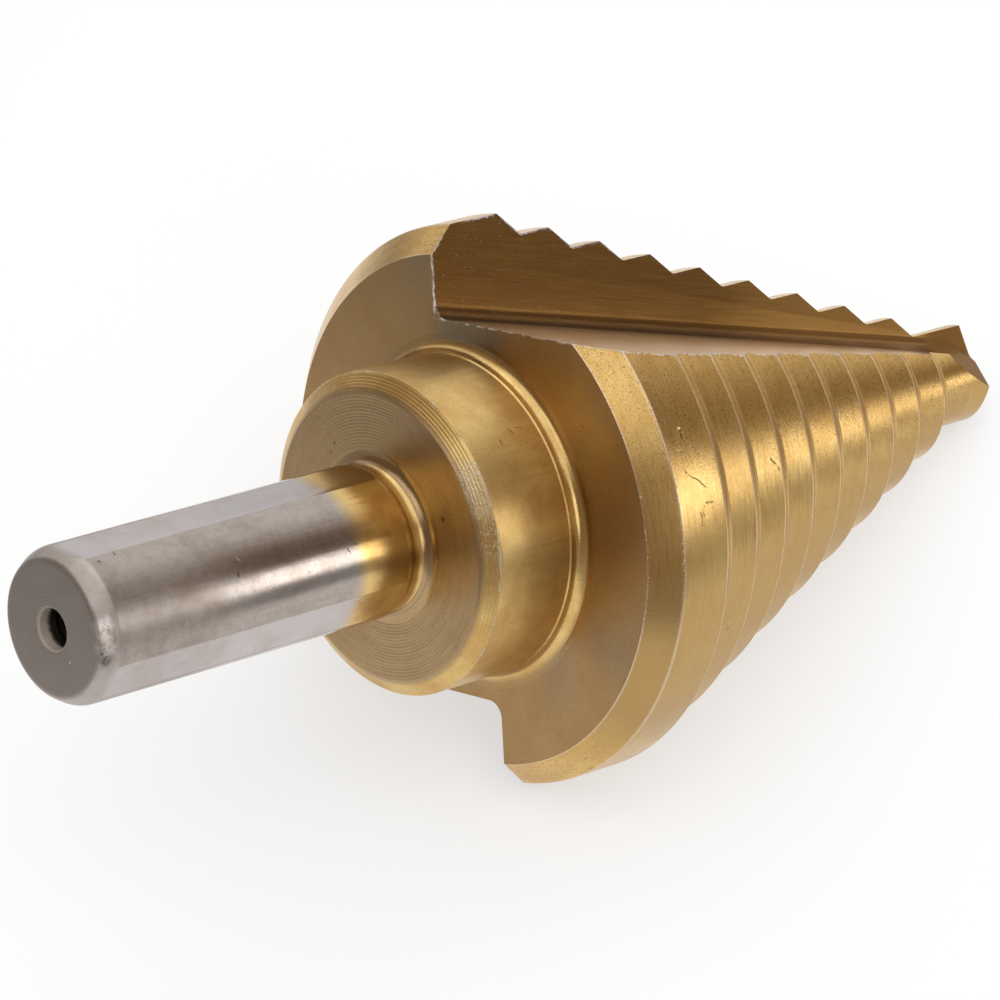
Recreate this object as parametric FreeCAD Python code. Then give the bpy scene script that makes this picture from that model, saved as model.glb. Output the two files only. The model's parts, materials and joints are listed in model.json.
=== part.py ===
import FreeCAD, Part
import math
import os

from FreeCAD import Vector

# Ten-step cone drill, 6.35 to 34.925 mm, with two straight flutes and a three-flat shank.
# All sizes are in millimetres and all angles in degrees.
# The tool is modelled along +Z, point up, with z = 0 at the rear edge of the largest land.
# It is then laid down at rest: origin under the middle of its box, point towards +X.

# Steps
step_count = 10
largest_diameter = 34.925
step_rise = 3.175            # on diameter, from one step to the next
step_pitch = 4.05
step_ramp_length = 1.8       # axial length of the slope between two lands
first_land_length = 3.6
last_land_length = 3.95      # to the point's flank, straight behind the cutting edge
rear_chamfer = 1.6
valley_radius = 0.35
land_relief = 0.225          # sideways shift of each lobe's own axis, which relieves its lands

# Point
point_angle = 135.0
flank_clearance = 14.0       # fall of the point's flanks behind the cutting lips
gash_distance = 1.5          # from the axis to the gash plane, at the point's outer corners
gash_angle = 27.0            # between the gash plane and the axis
gash_direction = 139.0       # of the gash plane in an end view, clockwise from 12 o'clock
gash_root_radius = 0.3

# Flutes, seen from the shank end with the first cutting edge at 12 o'clock
flute_hook = 9.0             # lean of the rake face, which is square to the flute's floor
flute_root_offset = -0.15    # of the root to the right of 12 o'clock, at z = 0
flute_root_height = 11.6     # of the root above the axis, at z = 0
flute_slope = 13.8           # fall of the root towards the axis
flute_drift = 0.9            # of the root to the right
flute_root_radius = 1.0

# Collar
collar_diameter = 20.0
collar_length = 7.35
collar_chamfer_radial = 1.1
collar_chamfer_axial = 0.8
collar_foot_radius = 0.8

# Shank
shank_diameter = 9.525
shank_length = 25.1
shank_chamfer_radial = 0.6
shank_chamfer_axial = 1.0
shank_corner_radius = 0.35
shank_neck_length = 1.75     # from the end of the ground shank to the collar's face
shank_neck_depth = 0.35
shank_neck_slope = 25.0
shank_root_radius = 0.9
flat_count = 3
flat_depth = 0.22
first_flat_direction = 17.6
end_hole_diameter = 2.5
end_hole_depth = 9.0
end_hole_chamfer = 0.15
end_hole_tip_angle = 118.0

# Places along the axis
back_face_z = -rear_chamfer
collar_face_z = back_face_z - collar_length
shank_end_z = collar_face_z - shank_length
last_land_rear_z = first_land_length + (step_count - 2) * step_pitch + step_ramp_length
point_corner_z = last_land_rear_z + last_land_length
blank_end_z = point_corner_z + last_land_length

largest_radius = largest_diameter / 2
collar_radius = collar_diameter / 2
shank_radius = shank_diameter / 2
half_turn = 180.0
lobe_lead = 30.0             # from a cutting edge forward to the split between the lobes
axis = Vector(0, 0, 1)
origin = Vector(0, 0, 0)


def step_radius(step):
    """Radius of a step's land, counted from 0 at the largest."""
    return largest_radius - step * step_rise / 2


def clock(angle):
    """Unit vector at an angle clockwise from 12 o'clock, seen from the shank end."""
    turn = math.radians(angle)
    return Vector(-math.sin(turn), math.cos(turn), 0)


def rounded_outline(corners):
    """Closed wire through (point, radius) corners, each rounded by its own radius."""
    edges = []
    starts = []
    ends = []
    for number, (point, radius) in enumerate(corners):
        before = corners[number - 1][0] - point
        after = corners[(number + 1) % len(corners)][0] - point
        before.normalize()
        after.normalize()
        half = before.getAngle(after) / 2
        setback = radius / math.tan(half)
        starts.append(point + before * setback)
        ends.append(point + after * setback)
        if radius > 0:
            inward = (before + after).normalize()
            middle = point + inward * (radius / math.sin(half) - radius)
            edges.append(Part.Arc(starts[-1], middle, ends[-1]).toShape())
    for number in range(len(corners)):
        start = ends[number - 1]
        end = starts[number]
        if (end - start).Length > 1e-6:
            edges.append(Part.LineSegment(start, end).toShape())
    return Part.Wire(Part.__sortEdges__(edges))


def turned(corners, angle=360.0, start=0.0):
    """Solid of revolution about Z of (radius, z, corner radius) points."""
    points = [(Vector(r, 0, z), rounding) for r, z, rounding in corners]
    face = Part.Face(rounded_outline(points))
    face.rotate(origin, axis, start)
    return face.revolve(origin, axis, angle)


def cone_outline():
    """Half section of one lobe of the stepped cone, from the back face to the point."""
    edge_gain = land_relief * math.cos(math.radians(lobe_lead))
    radii = [step_radius(step) - edge_gain for step in range(step_count)]
    corners = [(0, back_face_z, 0), (radii[0] - rear_chamfer, back_face_z, 0), (radii[0], 0, 0)]
    front_z = first_land_length
    for rear_radius, front_radius in zip(radii, radii[1:]):
        corners.append((rear_radius, front_z, 0))
        corners.append((front_radius, front_z + step_ramp_length, valley_radius))
        front_z += step_pitch
    corners.append((radii[-1], blank_end_z, 0))
    corners.append((0, blank_end_z, 0))
    return corners


def stepped_cone():
    """Two half cones. Each turns about its own shifted axis, so its lands fall away behind the edge."""
    lobe = turned(cone_outline(), half_turn, start=90 + lobe_lead)
    lobe.translate(clock(lobe_lead) * -land_relief)
    other = lobe.copy()
    other.rotate(origin, axis, half_turn)
    return lobe.fuse(other)


def vee_cutter(root, run, rake_direction, floor_direction, root_radius):
    """Long V-shaped cutter whose root line starts at a point and follows a run."""
    reach = 2 * largest_radius
    rake_end = root + clock(rake_direction) * reach
    floor_end = root + clock(floor_direction) * reach
    far_corner = root + (clock(rake_direction) + clock(floor_direction)) * reach
    corners = [(root, root_radius), (rake_end, 0), (far_corner, 0), (floor_end, 0)]
    return Part.Face(rounded_outline(corners)).extrude(run)


def flute_direction():
    """Direction of the flute's root line, for a length of 1 along the axis."""
    drift = math.tan(math.radians(flute_drift))
    fall = math.tan(math.radians(flute_slope))
    return clock(90) * drift - clock(0) * fall + axis


def flute_root_at(z):
    """Point of the flute's root line at a height z."""
    start = clock(90) * flute_root_offset + clock(0) * flute_root_height
    return start + flute_direction() * z


def flute():
    """Ground straight flute that gets deeper towards the point."""
    run = flute_direction() * (2 * point_corner_z - collar_face_z)
    return vee_cutter(flute_root_at(collar_face_z), run, flute_hook, flute_hook + 90, flute_root_radius)


def point_flank():
    """Round block whose flat end is the flank behind the lip at 12 o'clock."""
    lip_fall = 1 / math.tan(math.radians(point_angle / 2))
    flank_fall = math.tan(math.radians(flank_clearance))
    normal = clock(0) * lip_fall + clock(-90) * flank_fall + axis
    chisel_z = point_corner_z + step_radius(step_count - 1) * lip_fall
    return Part.makeCylinder(largest_radius, blank_end_z, axis * chisel_z, normal)


def gash():
    """Notch from the rake face to the heel, which thins the web behind the point."""
    outward = clock(gash_direction - 90)
    rake_line = clock(flute_hook)
    steepness = math.tan(math.radians(gash_angle))
    root = flute_root_at(point_corner_z)
    root += rake_line * ((gash_distance - outward.dot(root)) / outward.dot(rake_line))
    root.z = point_corner_z
    run = flute_direction()
    run -= rake_line * ((steepness + outward.dot(run)) / outward.dot(rake_line))
    length = 2 * last_land_length
    return vee_cutter(root - run * length, run * 2 * length, flute_hook, gash_direction, gash_root_radius)


def both_sides(cutter):
    """A cutter with its twin on the other side of the axis."""
    twin = cutter.copy()
    twin.rotate(origin, axis, half_turn)
    return [cutter, twin]


def shank_flats():
    """Blocks whose inner faces are the flats for the chuck's jaws. They run out in the neck."""
    blocks = []
    width = shank_diameter
    height = collar_face_z - shank_end_z - shank_neck_length / 2
    for number in range(flat_count):
        block = Part.makeBox(width, width, height, Vector(-width / 2, shank_radius - flat_depth, shank_end_z))
        block.rotate(origin, axis, first_flat_direction + number * 360 / flat_count)
        blocks.append(block)
    return blocks


def end_hole():
    """Drilled hole in the shank's end, which held the blank while it was coated."""
    radius = end_hole_diameter / 2
    mouth = radius + end_hole_chamfer
    tip = radius / math.tan(math.radians(end_hole_tip_angle / 2))
    floor_z = shank_end_z + end_hole_depth
    return turned([
        (0, shank_end_z, 0),
        (mouth, shank_end_z, 0),
        (radius, shank_end_z + end_hole_chamfer, 0),
        (radius, floor_z, 0),
        (0, floor_z + tip, 0),
    ])


def shank_and_collar():
    """Turned shank, relieved neck and collar, as one solid that reaches into the cone."""
    neck_start_z = collar_face_z - shank_neck_length
    neck_radius = shank_radius - shank_neck_depth
    neck_slope_length = shank_neck_depth / math.tan(math.radians(shank_neck_slope))
    return turned([
        (0, shank_end_z, 0),
        (shank_radius - shank_chamfer_radial, shank_end_z, shank_corner_radius),
        (shank_radius, shank_end_z + shank_chamfer_axial, shank_corner_radius),
        (shank_radius, neck_start_z, 0),
        (neck_radius, neck_start_z + neck_slope_length, 0),
        (neck_radius, collar_face_z, shank_root_radius),
        (collar_radius - collar_chamfer_radial, collar_face_z, 0),
        (collar_radius, collar_face_z + collar_chamfer_axial, 0),
        (collar_radius, back_face_z, collar_foot_radius),
        (collar_radius + 2 * collar_foot_radius, back_face_z, 0),
        (collar_radius, 0, 0),
        (0, 0, 0),
    ])


def step_drill():
    """The whole tool, upright, as one solid."""
    blank = stepped_cone().fuse(shank_and_collar())
    cutters = shank_flats() + [end_hole()]
    for cutter in (flute(), gash(), point_flank()):
        cutters += both_sides(cutter)
    return blank.cut(cutters).removeSplitter().Solids[0]


def resting_placement(tool):
    """Placement that lays the tool on its point and on both corners of one flute's mouth."""
    corners = [v.Point for v in tool.Vertexes if abs(v.Z - first_land_length) < 0.001]
    edge, heel = sorted((p for p in corners if p.x > 0 and p.y < 0), key=lambda p: p.x)
    down = axis.cross(edge - heel).normalize()
    depth = edge.dot(down)
    ahead = [v.Point for v in tool.Vertexes if v.Z > first_land_length + 0.001]
    tilt = min(math.atan2(depth - p.dot(down), p.z - first_land_length) for p in ahead)
    forward = axis * math.cos(tilt) - down * math.sin(tilt)
    up = down * -math.cos(tilt) - axis * math.sin(tilt)
    return FreeCAD.Placement(origin, FreeCAD.Rotation(forward, up.cross(forward), up, "XZY").inverted())


os.makedirs("parts", exist_ok=True)
drill = step_drill()
drill.Placement = resting_placement(drill)
box = drill.optimalBoundingBox(False, False)
drill.translate(Vector(-box.Center.x, -box.Center.y, -box.ZMin))
drill.exportStep("parts/step_drill.step")
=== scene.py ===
import json
import math

import bpy
from mathutils import Matrix, Vector


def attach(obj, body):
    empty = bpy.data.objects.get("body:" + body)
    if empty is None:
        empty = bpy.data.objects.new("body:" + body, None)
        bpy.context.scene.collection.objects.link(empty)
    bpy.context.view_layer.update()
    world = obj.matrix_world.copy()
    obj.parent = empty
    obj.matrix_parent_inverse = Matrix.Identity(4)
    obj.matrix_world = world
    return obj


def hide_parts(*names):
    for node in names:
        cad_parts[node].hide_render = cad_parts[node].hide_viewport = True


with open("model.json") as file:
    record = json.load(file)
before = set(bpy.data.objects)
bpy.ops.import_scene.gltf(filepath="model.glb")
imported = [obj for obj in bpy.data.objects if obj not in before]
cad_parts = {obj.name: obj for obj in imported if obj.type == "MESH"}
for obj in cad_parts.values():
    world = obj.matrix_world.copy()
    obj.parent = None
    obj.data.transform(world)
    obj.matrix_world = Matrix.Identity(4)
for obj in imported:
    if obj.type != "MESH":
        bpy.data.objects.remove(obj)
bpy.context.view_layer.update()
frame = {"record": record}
print("frame loaded")

mm = 0.001
shankMount = next(m for m in frame["record"]["mounts"] if m["name"] == "shank")

# sizes in mm, along the drill's own axis: z = 0 at the rear edge of the largest step, point at +z
steps = {
    "count": 10,
    "largestDiameter": 34.925,
    "rise": 3.175,  # on diameter
    "pitch": 4.05,
    "ramp": 1.8,
    "firstLand": 3.6,
    "lastLand": 3.95,
    "rearChamfer": 1.6,
    "relief": 0.225,  # each half of the cone is shifted by this much
    "overlap": 0.02,  # of each half into the other, so that they join cleanly
    "lead": 30,  # degrees from a cutting edge to the split between the halves
    "edgeRadius": 0.2,
    "rearEdgeRadius": 0.08,
    "valleyRadius": 0.45,
    "turns": 256,
}
point = {"angle": 135, "clearance": 14}
gash = {"distance": 1.5, "angle": 27, "direction": 139, "rootRadius": 0.3}
flute = {"hook": 9, "offset": -0.15, "height": 11.6, "slope": 13.8, "drift": 0.9, "rootRadius": 1.0}
collar = {
    "radius": 10.0,
    "length": 7.35,
    "chamferRadial": 1.1,
    "chamferAxial": 0.8,
    "footRadius": 0.74,
    "footStep": 0.06,  # low ridge left where the foot's radius begins
    "edgeRadius": 0.06,
    "groove": 0.2,  # pitch of the turning marks
    "grooveDepth": 0.005,
}
shank = {
    "radius": shankMount["dims"]["r_mm"],
    "length": 25.1,
    "chamferRadial": 0.6,
    "chamferAxial": 1.0,
    "endRadius": 0.5,
    "cornerRadius": 1.4,
    "neckLength": 1.75,
    "neckDepth": 0.35,
    "neckSlope": 25,
    "rootRadius": 0.9,
    "flats": 3,
    "flatDepth": 0.22,
    "firstFlat": 17.6,  # clock angle
}
hole = {"radius": 1.25, "depth": 9.0, "chamfer": 0.15, "tipAngle": 118, "pitch": 0.5, "ridge": 0.05, "turns": 7}
rest = {"upClock": 33.16}  # the clock angle that points up as the drill lies

backZ = -steps["rearChamfer"]
collarZ = backZ - collar["length"]
shankEndZ = collarZ - shank["length"]
lastLandZ = steps["firstLand"] + (steps["count"] - 2) * steps["pitch"] + steps["ramp"]
cornerZ = lastLandZ + steps["lastLand"]
coneRadius = steps["largestDiameter"] / 2


def clock(angle):
    # unit vector at an angle clockwise from 12 o'clock, seen from the shank end
    turn = math.radians(angle)
    return Vector((-math.sin(turn), math.cos(turn), 0))


def drillMatrix():
    # the drill's own frame in mm to the row's frame in metres
    along = -Vector(shankMount["axis"])
    up = (Vector((0, 0, 1)) - along * along.z).normalized()
    noon = Matrix.Rotation(-math.radians(rest["upClock"]), 3, along) @ up
    turn = Matrix((noon.cross(along), noon, along)).transposed()
    midShank = (shankEndZ + shank["chamferAxial"] + collarZ - shank["neckLength"]) / 2
    origin = Vector(shankMount["pos_m"]) - along * midShank * mm
    return Matrix.Translation(origin) @ turn.to_4x4() @ Matrix.Scale(mm, 4)


toolMatrix = drillMatrix()
axisZ = Vector((0, 0, 1))


# finishes: shader maths is written with Signal, in mm in the drill's own frame

class Signal:
    # one value, vector or colour inside a material
    def __init__(self, tree, socket=None):
        self.tree = tree
        self.socket = socket

    def node(self, kind, settings, inputs, output=0):
        made = self.tree.nodes.new("ShaderNode" + kind)
        for name, value in settings.items():
            setattr(made, name, value)
        for name, value in inputs.items():
            if isinstance(value, Signal):
                self.tree.links.new(value.socket, made.inputs[name])
            else:
                made.inputs[name].default_value = value
        return Signal(self.tree, made.outputs[output])

    def maths(self, operation, *values):
        return self.node("Math", {"operation": operation}, dict(enumerate(values)))

    def __add__(self, other):
        return self.maths("ADD", self, other)

    def __radd__(self, other):
        return self.maths("ADD", other, self)

    def __sub__(self, other):
        return self.maths("SUBTRACT", self, other)

    def __rsub__(self, other):
        return self.maths("SUBTRACT", other, self)

    def __mul__(self, other):
        return self.maths("MULTIPLY", self, other)

    def __rmul__(self, other):
        return self.maths("MULTIPLY", other, self)

    def __truediv__(self, other):
        return self.maths("DIVIDE", self, other)

    def __abs__(self):
        return self.maths("ABSOLUTE", self)

    def lower(self, other):
        return self.maths("MINIMUM", self, other)

    def upper(self, other):
        return self.maths("MAXIMUM", self, other)

    def fade(self, start, end):
        # 0 at start, 1 at end, eased at both
        ends = {"Value": self, "From Min": start, "From Max": end}
        return self.node("MapRange", {"interpolation_type": "SMOOTHSTEP"}, ends)

    def tint(self, other, factor):
        # this colour, turned to the other one where the factor is 1
        return self.node("Mix", {"data_type": "RGBA"}, {0: factor, 6: self, 7: colour(other)}, 2)

    def noise(self, scale, detail=2, roughness=0.5):
        return self.node("TexNoise", {}, {"Vector": self, "Scale": scale, "Detail": detail, "Roughness": roughness})


def colour(value):
    return value if isinstance(value, Signal) else (*value, 1)


class DrillSpace:
    # place on the drill: x, y and z in mm, r from its axis, and profile along its outline
    def __init__(self, tree):
        self.start = Signal(tree)
        place, turn, size = toolMatrix.decompose()
        spot = self.start.node("TexCoord", {}, {}, "Object")
        toDrill = {"Vector": spot, "Location": place, "Rotation": turn.to_euler(), "Scale": size}
        self.place = self.start.node("Mapping", {"vector_type": "TEXTURE"}, toDrill)
        self.x, self.y, self.z = (self.start.node("SeparateXYZ", {}, {0: self.place}, axis) for axis in "XYZ")
        self.r = (self.x * self.x + self.y * self.y).maths("SQRT", self.x * self.x + self.y * self.y)
        self.profile = self.z + 0.5 * self.r
        bend = self.start.node("TexNoise", {}, {"Vector": self.place, "Scale": 1.5, "Detail": 3}, "Color")
        bend = self.start.node("VectorMath", {"operation": "SUBTRACT"}, {0: bend, 1: (0.5, 0.5, 0.5)})
        bend = self.start.node("VectorMath", {"operation": "SCALE"}, {0: bend, "Scale": 0.4})
        self.bent = self.start.node("VectorMath", {}, {0: self.place, 1: bend})

    def vector(self, x, y, z):
        return self.start.node("CombineXYZ", {}, {"X": x, "Y": y, "Z": z})

    def mixed(self, factor, first, second):
        return self.start.node("Mix", {"data_type": "RGBA"}, {0: factor, 6: colour(first), 7: colour(second)}, 2)

    def rim(self):
        # radius of the stepped outline, from the height alone
        sweep = (self.z - steps["firstLand"]) / steps["pitch"]
        number = sweep.maths("FLOOR", sweep)
        slope = ((sweep - number) * (steps["pitch"] / steps["ramp"])).lower(1)
        return coneRadius - (number + slope).upper(0) * (steps["rise"] / 2) + self.z.lower(0)

    def fluteSides(self):
        # distances into the nearer flute from its rake face and from its floor
        side = self.y.maths("SIGN", self.y)
        spot = self.vector(self.x * side, self.y * side, self.z)
        inside = []
        for angle, facing in ((flute["hook"], -1), (flute["hook"] + 90, 1)):
            normal = clock(angle).cross(fluteRun()).normalized() * facing
            height = self.start.node("VectorMath", {"operation": "DOT_PRODUCT"}, {0: spot, 1: normal}, "Value")
            inside.append(height - normal.dot(fluteRoot(0)))
        return inside

    def fluteGap(self):
        # distance of an outer surface from the nearer flute
        rake, floor = self.fluteSides()
        return abs(rake.lower(floor))

    def rings(self, fine, around, detail=2):
        # noise drawn out around the axis, fine per mm along the outline
        return self.vector(self.x / self.r * around, self.y / self.r * around, self.profile * fine).noise(1, detail)

    def mark(self, z, angle, r, heading, length, width):
        # 1 on a short line that lies on the surface at a clock angle
        centre = clock(angle) * r + axisZ * z
        across = clock(angle + 90)
        line = across * math.cos(math.radians(heading)) + axisZ * math.sin(math.radians(heading))
        offset = self.start.node("VectorMath", {"operation": "SUBTRACT"}, {0: self.bent, 1: centre})
        along = self.start.node("VectorMath", {"operation": "DOT_PRODUCT"}, {0: offset, 1: line}, "Value")
        along = along.upper(-length / 2).lower(length / 2)
        nearest = self.start.node("VectorMath", {"operation": "SCALE"}, {0: line, "Scale": along})
        gap = self.start.node("VectorMath", {"operation": "DISTANCE"}, {0: offset, 1: nearest}, "Value")
        return gap.fade(width, width * 0.2)

    def marks(self, *lines):
        found = self.mark(*lines[0])
        for line in lines[1:]:
            found = found.upper(self.mark(*line))
        return found


def newMaterial(name):
    material = bpy.data.materials.new(name)
    material.use_nodes = True
    return material, DrillSpace(material.node_tree)


def dress(material, space, base, roughness, height, metallic=1):
    # height is in mm
    shader = material.node_tree.nodes["Principled BSDF"]
    bump = space.start.node("Bump", {}, {"Distance": mm, "Height": height})
    for name, value in (("Base Color", base), ("Roughness", roughness), ("Normal", bump), ("Metallic", metallic)):
        if isinstance(value, Signal):
            material.node_tree.links.new(value.socket, shader.inputs[name])
        else:
            shader.inputs[name].default_value = value
    return material


gold = {"clean": (0.76, 0.53, 0.21), "deep": (0.60, 0.36, 0.12), "pale": (0.80, 0.62, 0.46),
        "bare": (0.80, 0.75, 0.72), "dark": (0.13, 0.07, 0.03), "shaded": (0.36, 0.22, 0.10), "roughness": 0.26}


def landGold():
    material, space = newMaterial("landGold")
    blotch = space.place.noise(0.35, 3, 0.6)
    grain = space.place.noise(8, 3, 0.7)
    fleck = space.place.noise(3.5, 2)
    turning = space.rings(3.0, 2.0, 3)
    base = space.mixed(blotch.fade(0.35, 0.75) * 0.8, gold["clean"], gold["deep"])
    dirty = space.fluteGap().fade(11, 2)
    wiped = space.rings(5.0, 7.0, 4)
    base = base.tint((0.52, 0.32, 0.12), wiped.fade(0.45, 0.68) * 0.5)
    base = base.tint((0.66, 0.37, 0.10), grain.fade(0.40, 0.62) * (0.3 + 0.4 * dirty))
    side = space.y / space.r
    # painted shade: lands on the underside of the drill as it lies are darker, a little more so on the rear chamfer
    undersideShade = side.fade(-0.12, -0.42) * side.fade(-0.97, -0.76)
    base = base.tint((0.44, 0.28, 0.11), undersideShade * (0.8 + 0.15 * space.z.fade(0.1, -0.1)))
    base = base.tint(gold["dark"], grain.fade(0.54, 0.67) * fleck.fade(0.35, 0.6) * (0.15 + 0.5 * dirty))
    sweep = (space.z - steps["firstLand"]) / steps["pitch"]
    part = sweep - sweep.maths("FLOOR", sweep)
    ramp = part.fade(0.46, 0.40) * space.z.fade(3.3, 3.7)
    base = base.tint((0.82, 0.64, 0.34), ramp * 0.25)
    # painted shade: the front of the last land and the point are darker
    base = base.tint((0.50, 0.32, 0.11), space.z.fade(39.2, 40.6) * 0.8)
    frontGap = part.lower(1 - part) * steps["pitch"] + 0.1 * (grain - 0.5)
    edgeLine = frontGap.fade(0.10, 0.04) * space.z.fade(1, 2) * space.z.fade(37, 35)
    base = base.tint(gold["pale"], edgeLine * fleck.fade(0.35, 0.55) * 0.35)
    rearGap = abs(space.z).lower(abs(space.z - backZ)) + 0.1 * (grain - 0.5)
    base = base.tint(gold["pale"], rearGap.fade(0.10, 0.04) * 0.5)
    ground = space.fluteGap() + 0.3 * (grain - 0.5)
    chips = rearGap.fade(0.15, 0.08) * grain.fade(0.58, 0.64) * fleck.fade(0.45, 0.52)
    chips = chips.upper(ground.fade(0.10, 0.04) * fleck.fade(0.45, 0.6) * space.z.fade(30, 10))
    base = base.tint(gold["bare"], chips)
    scuffs = space.marks((1.7, 86, 17.1, 48, 2.0, 0.07), (2.4, 91, 17.1, 80, 0.6, 0.07), (1.9, 92.5, 17.1, -20, 0.6, 0.07),
                         (1.6, 94, 17.1, 5, 0.8, 0.07), (0.6, 79, 17.1, 60, 1.1, 0.09), (1.4, 76.5, 17.1, -10, 0.5, 0.22),
                         (11.2, 89.5, 13.9, 35, 1.0, 0.08), (6.2, 124.5, 15.7, 0, 0.1, 0.16), (7.6, 70, 15.7, 40, 0.9, 0.08),
                         (-0.7, 158.8, 16.7, 30, 0.3, 0.12), (-0.1, 160.5, 17.3, 0, 0.2, 0.12))
    base = base.tint(gold["dark"], scuffs * grain.fade(0.40, 0.56) * 0.7)
    roughness = gold["roughness"] + 0.1 * (blotch - 0.5) + 0.06 * (turning - 0.5) + 0.15 * chips
    height = 0.003 * turning + 0.006 * grain + 0.002 * space.rings(8, 3) + 0.02 * chips - 0.03 * scuffs
    return dress(material, space, base, roughness, height)


def turnedGold():
    material, space = newMaterial("turnedGold")
    blotch = space.place.noise(0.3, 3, 0.6)
    cloud = space.place.noise(0.11, 2)
    grain = space.place.noise(7, 3, 0.7)
    turning = space.rings(5.0, 1.5, 2)
    groove = space.r.maths("SINE", space.r * (2 * math.pi / collar["groove"]) + 3 * turning)
    discBack = space.z.fade(backZ - 0.3, backZ - 0.05) * space.r.fade(collar["radius"] + 0.3, collar["radius"] + 0.8)
    collarFace = space.z.fade(collarZ + 0.3, collarZ + 0.05)
    base = space.mixed(blotch.fade(0.35, 0.65) * 0.8, gold["clean"], gold["deep"])
    # painted shade: the disc back and the collar face, which face towards the shank end, are darker
    base = base.tint(gold["shaded"], discBack * 0.85)
    base = base.tint((0.41, 0.28, 0.15), collarFace * 0.9)
    base = base.tint((0.12, 0.08, 0.05), collarFace * groove.fade(0.2, 1) * turning.fade(0.35, 0.6) * 0.35)
    base = base.tint((0.25, 0.22, 0.17), discBack * cloud.fade(0.5, 0.7) * 0.5)
    # a darker grey patch on the disc back beside the collar, and a grey-brown wash farther out
    greyPatch = space.mark(backZ, 14, 11.6, 10, 2.0, 3.4)
    base = base.tint((0.17, 0.16, 0.13), greyPatch * discBack * 0.6)
    greyWash = space.mark(backZ, 122, 14.4, 60, 3.0, 4.0) * cloud.fade(0.3, 0.6)
    base = base.tint((0.21, 0.17, 0.12), greyWash * discBack * 0.5)
    base = base.tint(gold["dark"], grain.fade(0.54, 0.68) * 0.3)
    burr = (space.fluteGap() + 0.3 * (grain - 0.5)).fade(0.12, 0.05) * discBack * space.y.fade(0, 2)
    burr = burr * space.place.noise(1.2, 2).fade(0.42, 0.56)
    chamferGap = abs(space.z - collarZ - collar["chamferAxial"])
    rimBurr = (chamferGap + 0.3 * (grain - 0.5)).fade(0.09, 0.04)
    rimBurr = rimBurr * space.place.noise(0.6, 1).fade(0.50, 0.60) * grain.fade(0.46, 0.54)
    chamferChips = chamferGap.fade(0.75, 0.6) * space.mark(collarZ + 0.4, 80, 9.45, 0, 3.5, 2) * grain.fade(0.56, 0.62)
    bare = burr.upper(rimBurr).upper(chamferChips * space.z.fade(collarZ + 0.95, collarZ + 0.8) * 0.8)
    bare = bare.upper(space.mark(-8.15, 97, 10, 0, 3.0, 0.16) * grain.fade(0.42, 0.5))
    # painted highlight: a pale patch on the collar's chamfer
    paintedChamferSheen = space.mark(collarZ + 0.4, 73, 9.45, 0, 2.2, 1.1)
    bare = bare.upper(paintedChamferSheen * grain.fade(0.35, 0.55) * 0.4)
    # the pale tone covers burrs and chips at the edges, and with them the painted highlight on the collar's chamfer
    base = base.tint((0.80, 0.71, 0.60), bare)
    scuffs = space.marks((-4.0, 55.6, 10, 75, 0.9, 0.08), (-4.5, 57.2, 10, 30, 0.4, 0.09), (-5.6, 60, 10, 10, 0.3, 0.09),
                         (backZ, 66, 12.6, 30, 0.5, 0.07), (backZ, 68.2, 12.8, 75, 0.5, 0.07),
                         (collarZ, 80.4, 6.27, 0, 0.1, 0.16), (collarZ, 335.6, 6.34, 60, 0.25, 0.13),
                         (collarZ, 328.3, 6.13, 20, 0.2, 0.1))
    base = base.tint(gold["dark"], scuffs * 0.85)
    rings = space.z.fade(backZ - 1, backZ - 0.8) * space.r.fade(11.2, 10.8)
    rings = rings.upper(space.z.fade(collarZ - 1, collarZ - 0.8) * space.r.fade(5.5, 5.2))
    roughness = 0.36 - 0.17 * rings + 0.06 * (turning - 0.5) + 0.14 * (blotch - 0.5)
    height = 0.003 * turning + 0.006 * grain + 0.02 * bare
    return dress(material, space, base, roughness, height)


def groundGold():
    material, space = newMaterial("groundGold")
    run = fluteRun()
    side = space.y.maths("SIGN", space.y)
    across = space.vector((space.x * side - run.x * space.z) * 9, (abs(space.y) - run.y * space.z) * 9, space.z * 0.3)
    streak = across.noise(1, 4, 0.6)
    grain = space.place.noise(7, 3, 0.7)
    blotch = space.place.noise(0.5, 2)
    strip = space.fluteSides()[0].fade(0.5, 1.5) * space.z.fade(37, 34)
    base = space.mixed(streak.fade(0.3, 0.7), (0.25, 0.13, 0.036), (0.17, 0.082, 0.022))
    base = base.tint((0.30, 0.155, 0.045), space.z.fade(20, 30) * 0.8)
    base = base.tint((0.11, 0.05, 0.013), space.z.fade(25, 19) * 0.5)
    base = base.tint((0.78, 0.54, 0.30), strip * (1 - 0.15 * streak))
    base = base.tint(gold["dark"], grain.fade(0.6, 0.75) * 0.3)
    rimGap = (space.rim() - space.r).lower(space.z - backZ)
    heel = (rimGap + 0.5 * (streak - 0.5)).fade(0.9, 0.25) * strip * space.z.fade(38, 30)
    base = base.tint((0.66, 0.56, 0.52), heel * 0.8)
    burr = (rimGap + 0.5 * (grain - 0.5)).fade(0.16, 0.07) * blotch.fade(0.4, 0.55) * space.z.fade(20, 4)
    dust = grain.fade(0.66, 0.70) * space.z.fade(16, 0)
    bare = burr.upper(dust)
    base = base.tint(gold["bare"], bare * 0.8)
    roughness = 0.34 + 0.05 * (streak - 0.5) + 0.1 * (blotch - 0.5) + 0.3 * space.z.fade(38.5, 39.5)
    return dress(material, space, base, roughness, 0.002 * streak + 0.02 * bare)


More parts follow.
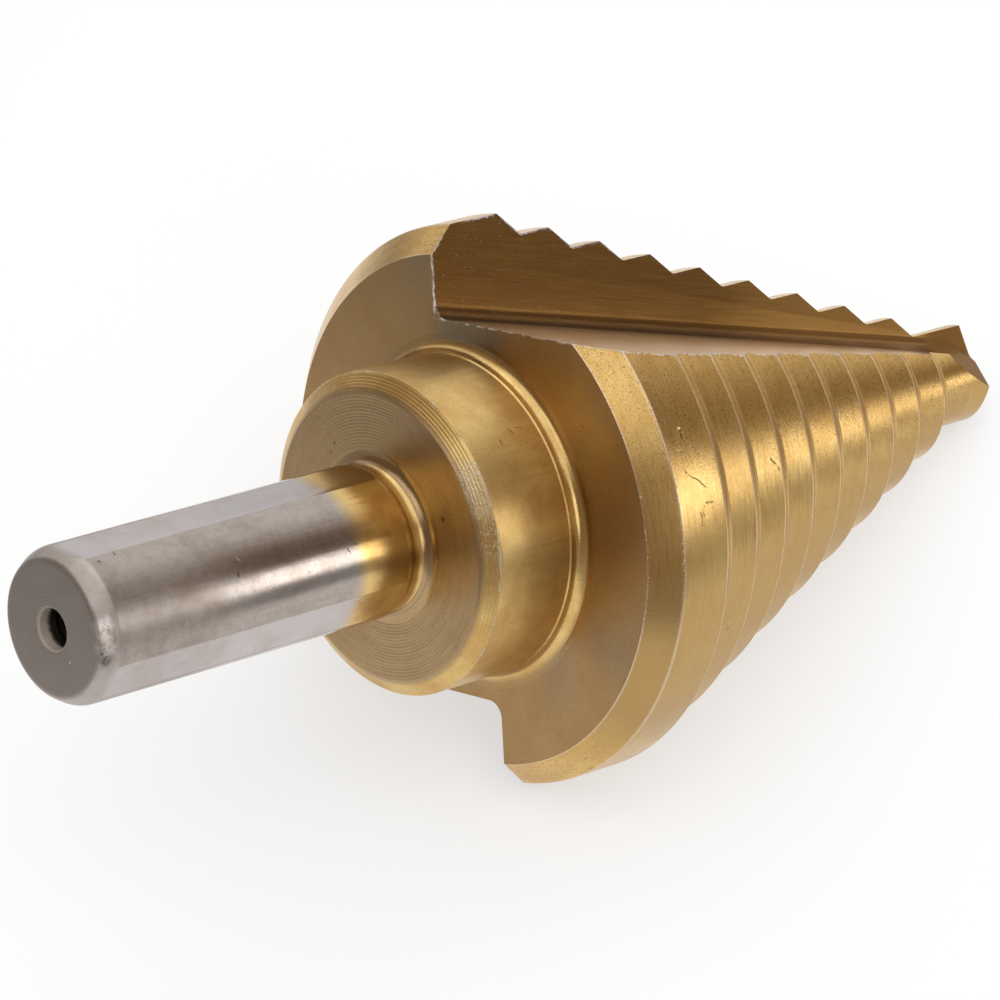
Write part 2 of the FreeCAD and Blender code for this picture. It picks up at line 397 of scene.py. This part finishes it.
def shankMetal():
    material, space = newMaterial("shankMetal")
    blotch = space.place.noise(0.4, 3, 0.6)
    grain = space.place.noise(6, 4, 0.75)
    streak = space.vector(space.x * 6, space.y * 6, space.z * 0.5).noise(1, 3)
    mottle = space.place.noise(1.8, 4, 0.7)
    cylinder = space.mixed(blotch.fade(0.4, 0.7), (0.44, 0.385, 0.345), (0.37, 0.305, 0.26))
    cylinder = cylinder.tint((0.28, 0.23, 0.20), mottle.fade(0.4, 0.75) * 0.4)
    cylinder = cylinder.tint((0.20, 0.17, 0.15), streak.fade(0.5, 0.75) * 0.15)
    flat = space.mixed(blotch.fade(0.4, 0.7), (0.58, 0.53, 0.53), (0.52, 0.46, 0.43))
    flats = space.r.fade(shank["radius"] - 0.005, shank["radius"] - 0.03)
    flats = flats * (0.25 + 0.75 * space.z.fade(shankEndZ + 0.7, shankEndZ + 1.6))
    steel = space.mixed(flats, cylinder, flat)
    steel = steel.tint((0.13, 0.10, 0.08), grain.fade(0.58, 0.72) * (0.5 - 0.4 * flats))
    endFace = space.z.fade(shankEndZ + 0.12, shankEndZ + 0.02)
    ring = space.r.maths("SINE", space.r * (2 * math.pi / 0.22) + 5 * blotch)
    # painted shade: the end face is darker
    steel = steel.tint((0.40, 0.355, 0.32), endFace * 0.9)
    steel = steel.tint((0.22, 0.19, 0.17), endFace * ring.fade(0.3, 1) * blotch.fade(0.4, 0.6) * 0.3)
    bore = space.r.fade(1.42, 1.3)
    # painted shade: the hole is dark beyond its mouth
    steel = steel.tint((0.10, 0.09, 0.06), bore * space.z.fade(shankEndZ + 0.6, shankEndZ + 0.8) * 0.9)
    coatGap = space.z + 0.8 * (blotch - 0.5) + 0.4 * (grain - 0.5)
    coat = coatGap.fade(collarZ - 6.2, collarZ - 4.7)
    base = space.mixed(coat, steel, space.mixed(blotch.fade(0.4, 0.7), gold["clean"], gold["deep"]))
    # dark spots: small pits on the shank, the first and widest a dark blotch on the end chamfer
    darkSpots = space.marks((-33.65, 113, 4.4, 20, 0.3, 0.5), (-32.2, 40.3, 4.75, 0, 0.1, 0.12), (-30.9, 37.8, 4.72, 0, 0.1, 0.12),
                       (-23.6, 78.4, 4.7, 10, 0.15, 0.16), (-26.2, 125.5, 4.58, 60, 0.4, 0.09), (-18.5, 91, 4.72, 0, 0.1, 0.12),
                       (-15.2, 84, 4.74, 30, 0.3, 0.1), (-14.6, 80, 4.74, 60, 0.3, 0.09))
    base = base.tint((0.08, 0.07, 0.06), darkSpots * grain.fade(0.3, 0.5) * 0.8)
    nick = space.marks((shankEndZ, 147, 2.27, 30, 0.25, 0.12), (-23.2, 68.2, 4.74, 35, 0.3, 0.08))
    base = base.tint(gold["bare"], nick)
    dull = space.z.fade(-20, -29) * 0.22
    mouth = bore * space.z.fade(shankEndZ + 1.0, shankEndZ + 0.6)
    base = base.tint((0.42, 0.36, 0.29), mouth * streak.fade(0.3, 0.6) * 0.9)
    # painted highlight: a pale patch on the end chamfer
    paintedChamferGlint = space.mark(-33.6, 97, 4.4, 0, 1.2, 0.9) * mottle.fade(0.35, 0.55)
    base = base.tint((0.90, 0.86, 0.82), paintedChamferGlint * 0.8)
    roughness = 0.17 + 0.1 * (blotch - 0.5) + 0.1 * endFace + 0.08 * flats + dull + 0.5 * mouth
    height = 0.003 * grain * (1 - 0.8 * flats) + 0.001 * streak
    return dress(material, space, base, roughness, height, 1 - 0.6 * mouth)


def fluteRun():
    drift = math.tan(math.radians(flute["drift"]))
    fall = math.tan(math.radians(flute["slope"]))
    return clock(90) * drift - clock(0) * fall + axisZ


def fluteRoot(z):
    return clock(90) * flute["offset"] + clock(0) * flute["height"] + fluteRun() * z


finishes = {"land": landGold(), "turned": turnedGold(), "ground": groundGold(), "shank": shankMetal()}
print("finishes mixed")


# modelling helpers: all work with operators on the active object

def newMesh(name):
    bpy.ops.object.select_all(action="DESELECT")
    bpy.ops.mesh.primitive_plane_add(size=1)
    piece = bpy.context.object
    piece.name = name
    bpy.ops.object.mode_set(mode="EDIT")
    bpy.ops.mesh.select_mode(type="VERT")
    bpy.ops.mesh.merge(type="CENTER")
    return piece


def drawLine(points):
    # the single vertex that newMesh leaves is pulled out into a line
    here = Vector(points[0])
    bpy.ops.transform.translate(value=here)
    for place in points[1:]:
        bpy.ops.mesh.extrude_region_move(TRANSFORM_OT_translate={"value": Vector(place) - here})
        here = Vector(place)


def finishMesh(piece, gap=1e-4):
    bpy.ops.mesh.select_all(action="SELECT")
    bpy.ops.mesh.remove_doubles(threshold=gap)
    bpy.ops.mesh.normals_make_consistent(inside=False)
    bpy.ops.object.mode_set(mode="OBJECT")
    return piece


def coat(piece, *names):
    piece.data.materials.clear()
    for name in names:
        piece.data.materials.append(finishes[name])
    return piece


def roundedLine(corners, parts=6):
    # corners are (r, z, radius); each is replaced by an arc of that radius
    line = []
    for number, (r, z, radius) in enumerate(corners):
        here = Vector((r, z))
        if radius == 0 or number in (0, len(corners) - 1):
            line.append(here)
            continue
        back = (Vector(corners[number - 1][:2]) - here).normalized()
        ahead = (Vector(corners[number + 1][:2]) - here).normalized()
        half = back.angle(ahead) / 2
        middle = here + (back + ahead).normalized() * radius / math.sin(half)
        start = here + back * radius / math.tan(half) - middle
        sweep = math.pi - 2 * half
        side = 1 if back.x * ahead.y - back.y * ahead.x < 0 else -1
        for part in range(parts + 1):
            turn = side * sweep * part / parts
            line.append(middle + Matrix.Rotation(turn, 2) @ start)
    return line


def spinLine(name, line, start=0, angle=360, turns=steps["turns"]):
    # a line of (r, z) points is turned about the z axis
    piece = newMesh(name)
    side = math.radians(start)
    drawLine([(p.x * math.cos(side), p.x * math.sin(side), p.y) for p in line])
    bpy.ops.mesh.select_all(action="SELECT")
    bpy.ops.mesh.spin(steps=turns, angle=-math.radians(angle), center=(0, 0, 0), axis=axisZ)
    bpy.ops.mesh.select_all(action="SELECT")
    bpy.ops.mesh.remove_doubles(threshold=1e-4)
    if angle < 360:
        bpy.ops.mesh.select_all(action="DESELECT")
        bpy.ops.mesh.select_non_manifold()
        bpy.ops.mesh.edge_face_add()
    return finishMesh(piece)


def combine(piece, other, operation):
    cut = piece.modifiers.new(operation.lower(), "BOOLEAN")
    cut.operation = operation
    cut.solver = "MANIFOLD"
    cut.material_mode = "TRANSFER"
    cut.object = other
    bpy.ops.object.select_all(action="DESELECT")
    bpy.context.view_layer.objects.active = piece
    bpy.ops.object.modifier_apply(modifier=cut.name)
    bpy.data.objects.remove(other)


def turnedCopy(piece, angle):
    bpy.ops.object.select_all(action="DESELECT")
    piece.select_set(True)
    bpy.context.view_layer.objects.active = piece
    bpy.ops.object.duplicate()
    twin = bpy.context.object
    twin.matrix_world = Matrix.Rotation(math.radians(angle), 4, axisZ) @ twin.matrix_world
    bpy.ops.object.transform_apply(location=True, rotation=True, scale=True)
    return twin


# the turned blank

def stepRadius(step):
    return coneRadius - step * steps["rise"] / 2


def coneLine():
    gain = steps["relief"] * math.cos(math.radians(steps["lead"]))
    radii = [stepRadius(step) - gain for step in range(steps["count"])]
    edge = steps["edgeRadius"]
    rear = steps["rearEdgeRadius"]
    corners = [(0, backZ, 0), (radii[0] - steps["rearChamfer"], backZ, rear), (radii[0], 0, rear)]
    z = steps["firstLand"]
    for rear, front in zip(radii, radii[1:]):
        corners.append((rear, z, edge))
        corners.append((front, z + steps["ramp"], steps["valleyRadius"]))
        z += steps["pitch"]
    corners += [(radii[-1], cornerZ + steps["lastLand"], 0), (0, cornerZ + steps["lastLand"], 0)]
    return roundedLine(corners)


def makeCone():
    half = spinLine("cone", coneLine(), start=90 + steps["lead"], angle=180, turns=steps["turns"] // 2)
    coat(half, "land", "turned")
    for face in half.data.polygons:
        face.material_index = 1 if face.center.z < backZ + 0.01 else 0
    half.location = clock(steps["lead"]) * -steps["relief"] - clock(steps["lead"] + 90) * steps["overlap"]
    bpy.ops.object.transform_apply(location=True)
    combine(half, turnedCopy(half, 180), "UNION")
    return half


def grooved(start, end, pitch, depth):
    # corners of a fine turned groove between two (r, z) places
    start = Vector(start)
    end = Vector(end)
    side = (end - start).orthogonal().normalized()
    count = 4 * max(1, round((end - start).length / pitch))
    points = [start.lerp(end, part / count) + side * depth * math.sin(math.pi / 2 * part) for part in range(count + 1)]
    return [(place.x, place.y, 0) for place in points]


def threadLine(start):
    # rounded ridges on the wall of the hole, from its inner end outwards
    corners = []
    for number in range(hole["turns"], 0, -1):
        z = start + number * hole["pitch"]
        for share, inward in ((0.7, 0), (0.4, 1), (0.3, 1), (0, 0)):
            corners.append((hole["radius"] - inward * hole["ridge"], z + share * hole["pitch"], 0.03 * inward))
    return corners


def makeShank():
    sunk = 0.01  # of the fillet's end into the cone's back face
    neckStart = collarZ - shank["neckLength"]
    neckRadius = shank["radius"] - shank["neckDepth"]
    slope = shank["neckDepth"] / math.tan(math.radians(shank["neckSlope"]))
    holeTip = hole["radius"] / math.tan(math.radians(hole["tipAngle"] / 2))
    holeFloor = shankEndZ + hole["depth"]
    foot = collar["radius"] + collar["footStep"]
    footStart = backZ - collar["footRadius"] - 0.1
    faceEdge = collar["radius"] - collar["chamferRadial"]
    endEdge = shank["radius"] - shank["chamferRadial"]
    corners = [
        (0, holeFloor + holeTip, 0),
        (hole["radius"], holeFloor, 0),
        *threadLine(shankEndZ + 0.6),
        (hole["radius"], shankEndZ + hole["chamfer"], 0),
        (hole["radius"] + hole["chamfer"], shankEndZ, 0.04),
        *grooved((1.7, shankEndZ), (endEdge - 0.4, shankEndZ), 0.3, 0.002),
        (endEdge, shankEndZ, shank["endRadius"]),
        (shank["radius"], shankEndZ + shank["chamferAxial"], shank["cornerRadius"]),
        (shank["radius"], neckStart, 0.03),
        (neckRadius, neckStart + slope, 0.1),
        (neckRadius, collarZ, shank["rootRadius"]),
        *grooved((5.33, collarZ), (faceEdge - 0.15, collarZ), collar["groove"], collar["grooveDepth"]),
        (faceEdge, collarZ, collar["edgeRadius"]),
        *grooved((faceEdge + 0.12, collarZ + 0.09), (collar["radius"] - 0.12, collarZ + collar["chamferAxial"] - 0.09),
                 0.2, 0.008),
        (collar["radius"], collarZ + collar["chamferAxial"], collar["edgeRadius"]),
        (collar["radius"], footStart - 0.11, 0.03),
        (foot, footStart, 0.03),
        (foot, backZ + sunk, collar["footRadius"]),
        (foot + collar["footRadius"] + sunk, backZ + sunk, 0),
        (collar["radius"], -sunk, 0),
        (0, -sunk, 0),
    ]
    piece = coat(spinLine("shank", roundedLine(corners, parts=8)), "shank", "turned")
    for face in piece.data.polygons:
        face.material_index = 1 if face.center.z > collarZ - 0.5 * shank["rootRadius"] else 0
    return piece


# the ground forms, cut from the blank

def veeCutter(name, root, run, rakeClock, floorClock, rootRadius):
    reach = steps["largestDiameter"]
    rake = clock(rakeClock)
    floor = clock(floorClock)
    corner = math.radians(floorClock - rakeClock)
    setback = rootRadius / math.tan(corner / 2)
    middle = root + (rake + floor).normalized() * rootRadius / math.sin(corner / 2)
    spoke = root + rake * setback - middle
    parts = 8
    turn = (corner - math.pi) / parts
    arc = [middle + Matrix.Rotation(turn * part, 3, axisZ) @ spoke for part in range(parts + 1)]
    piece = newMesh(name)
    drawLine([root + rake * reach] + arc + [root + floor * reach, root + (rake + floor) * reach])
    bpy.ops.mesh.select_all(action="SELECT")
    bpy.ops.mesh.edge_face_add()
    bpy.ops.mesh.extrude_region_move(TRANSFORM_OT_translate={"value": run})
    return finishMesh(piece)


def fluteCutter():
    run = fluteRun() * (2 * cornerZ - collarZ)
    return veeCutter("flute", fluteRoot(collarZ), run, flute["hook"], flute["hook"] + 90, flute["rootRadius"])


def gashCutter():
    outward = clock(gash["direction"] - 90)
    rake = clock(flute["hook"])
    steep = math.tan(math.radians(gash["angle"]))
    root = fluteRoot(cornerZ)
    root += rake * ((gash["distance"] - outward.dot(root)) / outward.dot(rake))
    root.z = cornerZ
    run = fluteRun()
    run -= rake * ((steep + outward.dot(run)) / outward.dot(rake))
    length = 2 * steps["lastLand"]
    return veeCutter("gash", root - run * length, run * 2 * length, flute["hook"], gash["direction"],
                     gash["rootRadius"])


def grindPoint(drill):
    lipFall = 1 / math.tan(math.radians(point["angle"] / 2))
    flankFall = math.tan(math.radians(point["clearance"]))
    chiselZ = cornerZ + stepRadius(steps["count"] - 1) * lipFall
    bpy.ops.object.select_all(action="DESELECT")
    drill.select_set(True)
    bpy.context.view_layer.objects.active = drill
    bpy.ops.object.mode_set(mode="EDIT")
    for side in (1, -1):
        normal = (clock(0) * lipFall + clock(-90) * flankFall) * side + axisZ
        bpy.ops.mesh.select_all(action="SELECT")
        bpy.ops.mesh.bisect(plane_co=(0, 0, chiselZ), plane_no=normal, use_fill=True, clear_outer=True)
    finishMesh(drill, gap=0.003)
    names = [material.name for material in drill.data.materials]
    for face in drill.data.polygons:
        if face.center.z > lastLandZ and face.normal.z > 0.8:
            face.material_index = names.index("groundGold")


def flatCutter(number):
    width = 2 * shank["radius"]
    height = collarZ - shankEndZ - shank["neckLength"] / 2 + 1
    bpy.ops.object.select_all(action="DESELECT")
    bpy.ops.mesh.primitive_cube_add(size=1)
    piece = bpy.context.object
    out = shank["radius"] - shank["flatDepth"] + width / 2
    bpy.ops.transform.resize(value=(width, width, height))
    bpy.ops.transform.translate(value=(0, out, shankEndZ - 1 + height / 2))
    bpy.ops.object.transform_apply(location=True, rotation=True, scale=True)
    return turnedAway(piece, shank["firstFlat"] + number * 360 / shank["flats"])


def turnedAway(piece, angle):
    piece.matrix_world = Matrix.Rotation(math.radians(angle), 4, axisZ)
    bpy.ops.object.transform_apply(location=True, rotation=True, scale=True)
    return piece


def makeDrill():
    drill = makeShank()
    combine(drill, makeCone(), "UNION")
    print("blank turned")
    for cutter in (fluteCutter(), gashCutter()):
        coat(cutter, "ground")
        combine(drill, turnedCopy(cutter, 180), "DIFFERENCE")
        combine(drill, cutter, "DIFFERENCE")
    for number in range(shank["flats"]):
        combine(drill, coat(flatCutter(number), "shank"), "DIFFERENCE")
    grindPoint(drill)
    drill.name = "stepDrill"
    drill.matrix_world = toolMatrix
    bpy.ops.object.select_all(action="DESELECT")
    drill.select_set(True)
    bpy.context.view_layer.objects.active = drill
    bpy.ops.object.transform_apply(location=True, rotation=True, scale=True)
    bpy.ops.object.shade_smooth_by_angle(angle=math.radians(20))
    print("drill ground", len(drill.data.polygons), "faces")
    return drill


drill = makeDrill()
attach(drill, "root")
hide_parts("step_drill")

# camera, floor and light

camera = {"lens": 215.24, "place": (-0.171016, -0.201756, 0.26939), "azimuth": 50.18, "down": 44.04}


def makeCamera():
    bpy.ops.object.camera_add(location=camera["place"])
    view = bpy.context.object
    view.rotation_euler = (math.radians(90 - camera["down"]), 0, math.radians(camera["azimuth"] - 90))
    view.data.lens = camera["lens"]
    view.data.sensor_width = 36
    view.data.clip_end = 10
    bpy.context.scene.camera = view


# a white sheet in the middle of a pale grey table; half sizes in metres, along and across the view
sheet = {"length": 0.075, "width": 0.042, "edge": 4.0, "tone": (0.90, 0.91, 0.92), "table": (0.33, 0.33, 0.33),
         "glow": 0.6}


def makeFloor():
    bpy.ops.object.select_all(action="DESELECT")
    bpy.ops.mesh.primitive_plane_add(size=6)
    floor = bpy.context.object
    floor.name = "floor"
    material = bpy.data.materials.new("floor")
    material.use_nodes = True
    tree = material.node_tree
    shader = tree.nodes["Principled BSDF"]
    start = Signal(tree)
    spot = start.node("TexCoord", {}, {}, "Object")
    spot = start.node("Mapping", {}, {"Vector": spot, "Rotation": (0, 0, -math.radians(camera["azimuth"]))})
    along, across = (start.node("SeparateXYZ", {}, {0: spot}, axis) for axis in "XY")
    away = (along / sheet["length"]) * (along / sheet["length"]) + (across / sheet["width"]) * (across / sheet["width"])
    edge = away.fade(1, sheet["edge"])
    tone = start.node("Mix", {"data_type": "RGBA"}, {0: edge, 6: colour(sheet["tone"]), 7: colour(sheet["table"])}, 2)
    tree.links.new(tone.socket, shader.inputs["Base Color"])
    shown = start.node("LightPath", {}, {}, "Is Camera Ray") + start.node("LightPath", {}, {}, "Is Glossy Ray")
    shown = (shown + start.node("LightPath", {}, {}, "Is Transmission Ray")).lower(1)
    white = start.node("Emission", {}, {"Color": (1, 1, 1, 1), "Strength": 1})
    lit = Signal(tree, shader.outputs[0])
    share = shown * (1 - edge) * sheet["glow"]
    both = start.node("MixShader", {}, {0: share, 1: lit, 2: white})
    tree.links.new(both.socket, tree.nodes["Material Output"].inputs["Surface"])
    shader.inputs["Roughness"].default_value = 1
    shader.inputs["Specular IOR Level"].default_value = 0
    floor.data.materials.append(material)


def makeLamp(name, azimuth, elevation, distance, size, power):
    turn = Matrix.Rotation(math.radians(azimuth), 3, "Z") @ Matrix.Rotation(-math.radians(elevation), 3, "Y")
    place = turn @ Vector((distance, 0, 0))
    bpy.ops.object.light_add(type="AREA", location=place)
    lamp = bpy.context.object
    lamp.name = name
    lamp.rotation_euler = place.to_track_quat("Z", "Y").to_euler()
    lamp.data.shape = "RECTANGLE"
    lamp.data.size, lamp.data.size_y = size
    lamp.data.energy = power
    return lamp


studio = {
    "room": 0.24,
    "warm": (1.0, 0.78, 0.62),  # tint of the dim parts of the room
    "ceiling": 1.1,  # a wide soft light overhead
    "horizon": 0.42,
    # azimuth, elevation, radius of the even part, radius of the soft edge, strength
    "windows": [(-44, 8, 4, 12, 2.6), (-62, 14, 6, 26, 0.45), (-108, 30, 9, 18, 1.3), (45, 10, 30, 68, 0.75), (-175, 45, 6, 16, 0.8)],
}


def makeStudio():
    world = bpy.data.worlds.new("studio")
    bpy.context.scene.world = world
    world.use_nodes = True
    sky = Signal(world.node_tree)
    heading = sky.node("TexCoord", {}, {}, "Generated")
    height = sky.node("SeparateXYZ", {}, {0: heading}, "Z")
    level = studio["room"] + (studio["ceiling"] - studio["room"]) * height.fade(0.62, 0.84)
    level = level + (studio["horizon"] - studio["room"]) * height.fade(0.14, 0.03)
    for azimuth, elevation, even, edge, strength in studio["windows"]:
        turn = Matrix.Rotation(math.radians(azimuth), 3, "Z") @ Matrix.Rotation(-math.radians(elevation), 3, "Y")
        facing = turn @ Vector((1, 0, 0))
        window = sky.node("VectorMath", {"operation": "DOT_PRODUCT"}, {0: heading, 1: facing}, "Value")
        level = level + strength * window.fade(math.cos(math.radians(edge)), math.cos(math.radians(even)))
    world.node_tree.links.new(level.socket, world.node_tree.nodes["Background"].inputs["Strength"])
    tone = sky.node("Mix", {"data_type": "RGBA"}, {0: level.fade(0.2, 0.9), 6: colour(studio["warm"]), 7: colour((1, 1, 1))}, 2)
    world.node_tree.links.new(tone.socket, world.node_tree.nodes["Background"].inputs["Color"])


makeCamera()
makeFloor()
lamp = makeLamp("floorLamp", -130, 60, 1.8, (1.8, 1.8), 14)
lamp.visible_glossy = False
makeStudio()
bpy.context.scene.view_settings.view_transform = "Standard"
